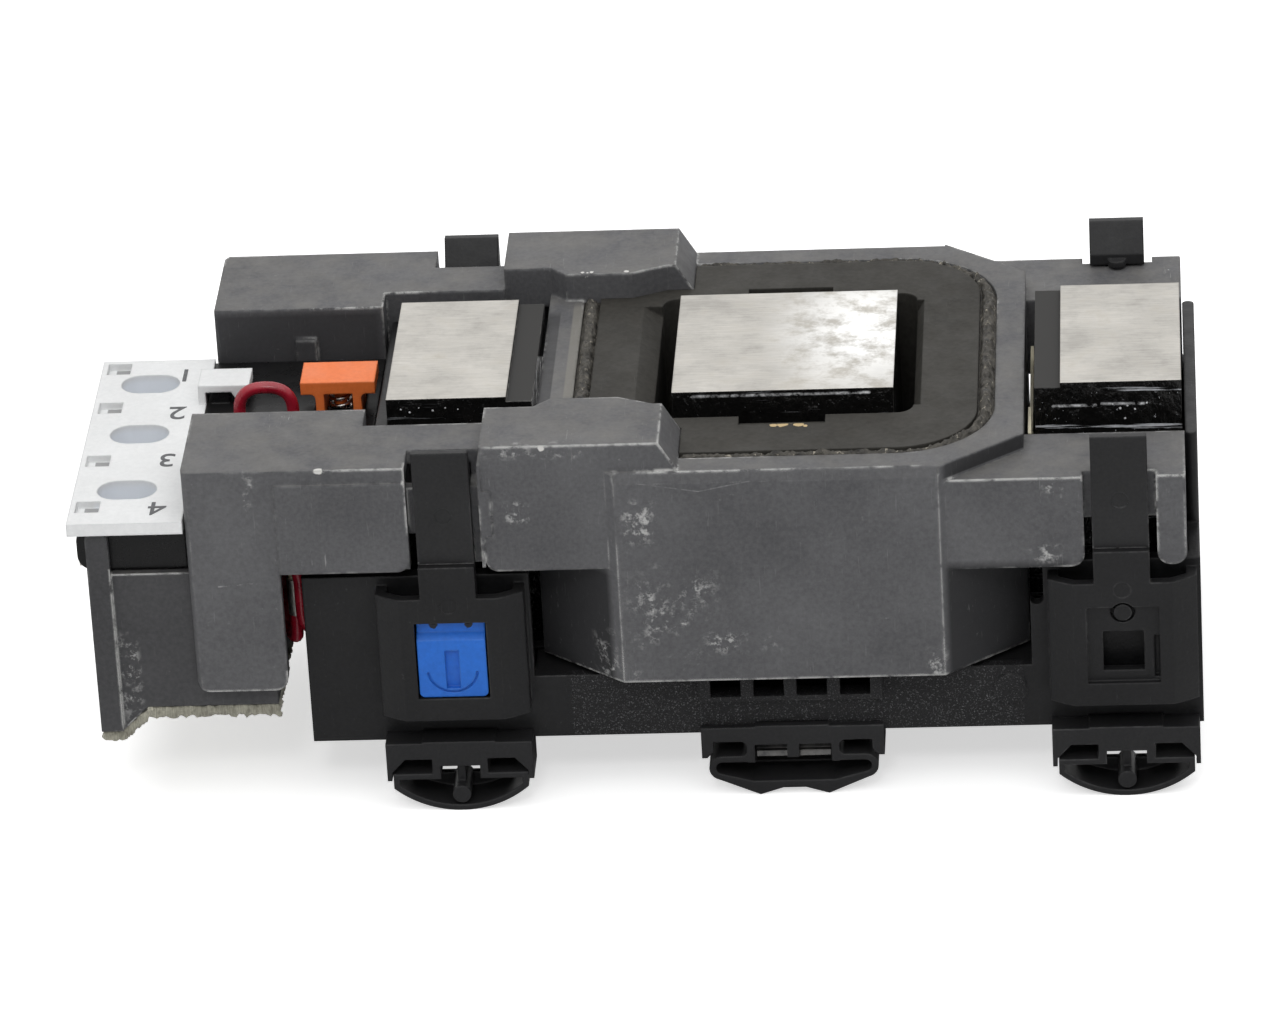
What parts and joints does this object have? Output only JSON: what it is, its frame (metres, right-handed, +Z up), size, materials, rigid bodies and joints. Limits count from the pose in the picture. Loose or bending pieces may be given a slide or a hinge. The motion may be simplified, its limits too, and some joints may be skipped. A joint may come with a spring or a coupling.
{
  "type": "magnetic motor starter coil and magnet half",
  "caption": "Coil and fixed magnet half of a magnetic motor starter: grey coil casing, laminated core, black carrier with snap arms, terminal block and sprung auxiliary plunger.",
  "frame": {"origin": "on the ground plane under the middle of the centre pole", "axes": "+X along the magnet away from the terminals, +Y to the rear, +Z up out of the pole faces"},
  "size_m": [0.1686, 0.0782, 0.0608],
  "materials": {
    "black_plastic": "satin moulded",
    "core_steel": "ground pole faces, lacquered sides",
    "casing_plastic": "moulded, worn edges",
    "bobbin_plastic": "moulded",
    "winding_wire": "enamelled wire",
    "potting": "rough cast",
    "cream_sheet": "smooth",
    "blue_plastic": "satin moulded",
    "spring_steel": "bright",
    "housing_plastic": "moulded",
    "white_plastic": "smooth",
    "felt": "fibrous",
    "contact_brass": "bright",
    "orange_plastic": "satin moulded",
    "red_lead": "glossy insulation",
    "tinned_metal": "tinned",
    "cream_sleeve": "woven sleeve"
  },
  "bodies": {
    "base": {"magnet_carrier": "black_plastic", "magnet_core": "core_steel", "core_rivets": "core_steel", "coil_casing": "casing_plastic", "coil_bobbin": "bobbin_plastic", "coil_winding": "winding_wire", "potting_bead": "potting", "insulation_sheet": "cream_sheet", "lock_spring": "spring_steel", "front_left_foot": "black_plastic", "front_right_foot": "black_plastic", "rear_left_foot": "black_plastic", "rear_right_foot": "black_plastic", "front_centre_foot": "black_plastic", "rear_centre_foot": "black_plastic", "foot_spring_strips": "spring_steel", "terminal_housing": "housing_plastic", "terminal_block": "black_plastic", "label_plate": "white_plastic", "felt_pad": "felt", "terminal_clamps": "spring_steel", "coil_terminals": "contact_brass", "fixed_contacts": "contact_brass", "aux_spring": "spring_steel", "loop_lead": "red_lead", "short_lead": "red_lead", "lead_crimps": "tinned_metal", "lead_sleeves": "cream_sleeve"},
    "plunger": {"aux_plunger": "orange_plastic", "bridge_contact": "contact_brass"},
    "lock": {"lock_button": "blue_plastic"},
    "front_left_arm": {"front_left_snap_arm": "black_plastic"},
    "front_right_arm": {"front_right_snap_arm": "black_plastic"},
    "rear_left_arm": {"rear_left_snap_arm": "black_plastic"},
    "rear_right_arm": {"rear_right_snap_arm": "black_plastic"}
  },
  "joints": [
    {"name": "plunger_push", "type": "slide", "parent": "base", "child": "plunger", "axis": [0, 0, -1], "range_m": [0, 0.003], "stiffness_N_per_m": 300, "springref_m": -0.001, "deforming": ["aux_spring"]},
    {"name": "lock_push", "type": "slide", "parent": "base", "child": "lock", "axis": [0, 1, 0], "range_m": [0, 0.0018], "stiffness_N_per_m": 500, "springref_m": -0.001, "deforming": ["lock_spring"]},
    {"name": "front_left_arm_bend", "type": "hinge", "parent": "base", "child": "front_left_arm", "pos_m": [-0.0502, -0.038, 0.0418], "axis": [1, 0, 0], "range_deg": [0, 12], "stiffness_Nm_per_rad": 0.3, "springref_deg": -2.86},
    {"name": "front_right_arm_bend", "type": "hinge", "parent": "base", "child": "front_right_arm", "pos_m": [0.0502, -0.038, 0.0418], "axis": [1, 0, 0], "range_deg": [0, 12], "stiffness_Nm_per_rad": 0.3, "springref_deg": -2.86},
    {"name": "rear_left_arm_bend", "type": "hinge", "parent": "base", "child": "rear_left_arm", "pos_m": [-0.0502, 0.038, 0.0418], "axis": [-1, 0, 0], "range_deg": [0, 12], "stiffness_Nm_per_rad": 0.3, "springref_deg": -2.86},
    {"name": "rear_right_arm_bend", "type": "hinge", "parent": "base", "child": "rear_right_arm", "pos_m": [0.0502, 0.038, 0.0418], "axis": [-1, 0, 0], "range_deg": [0, 12], "stiffness_Nm_per_rad": 0.3, "springref_deg": -2.86}
  ]
}
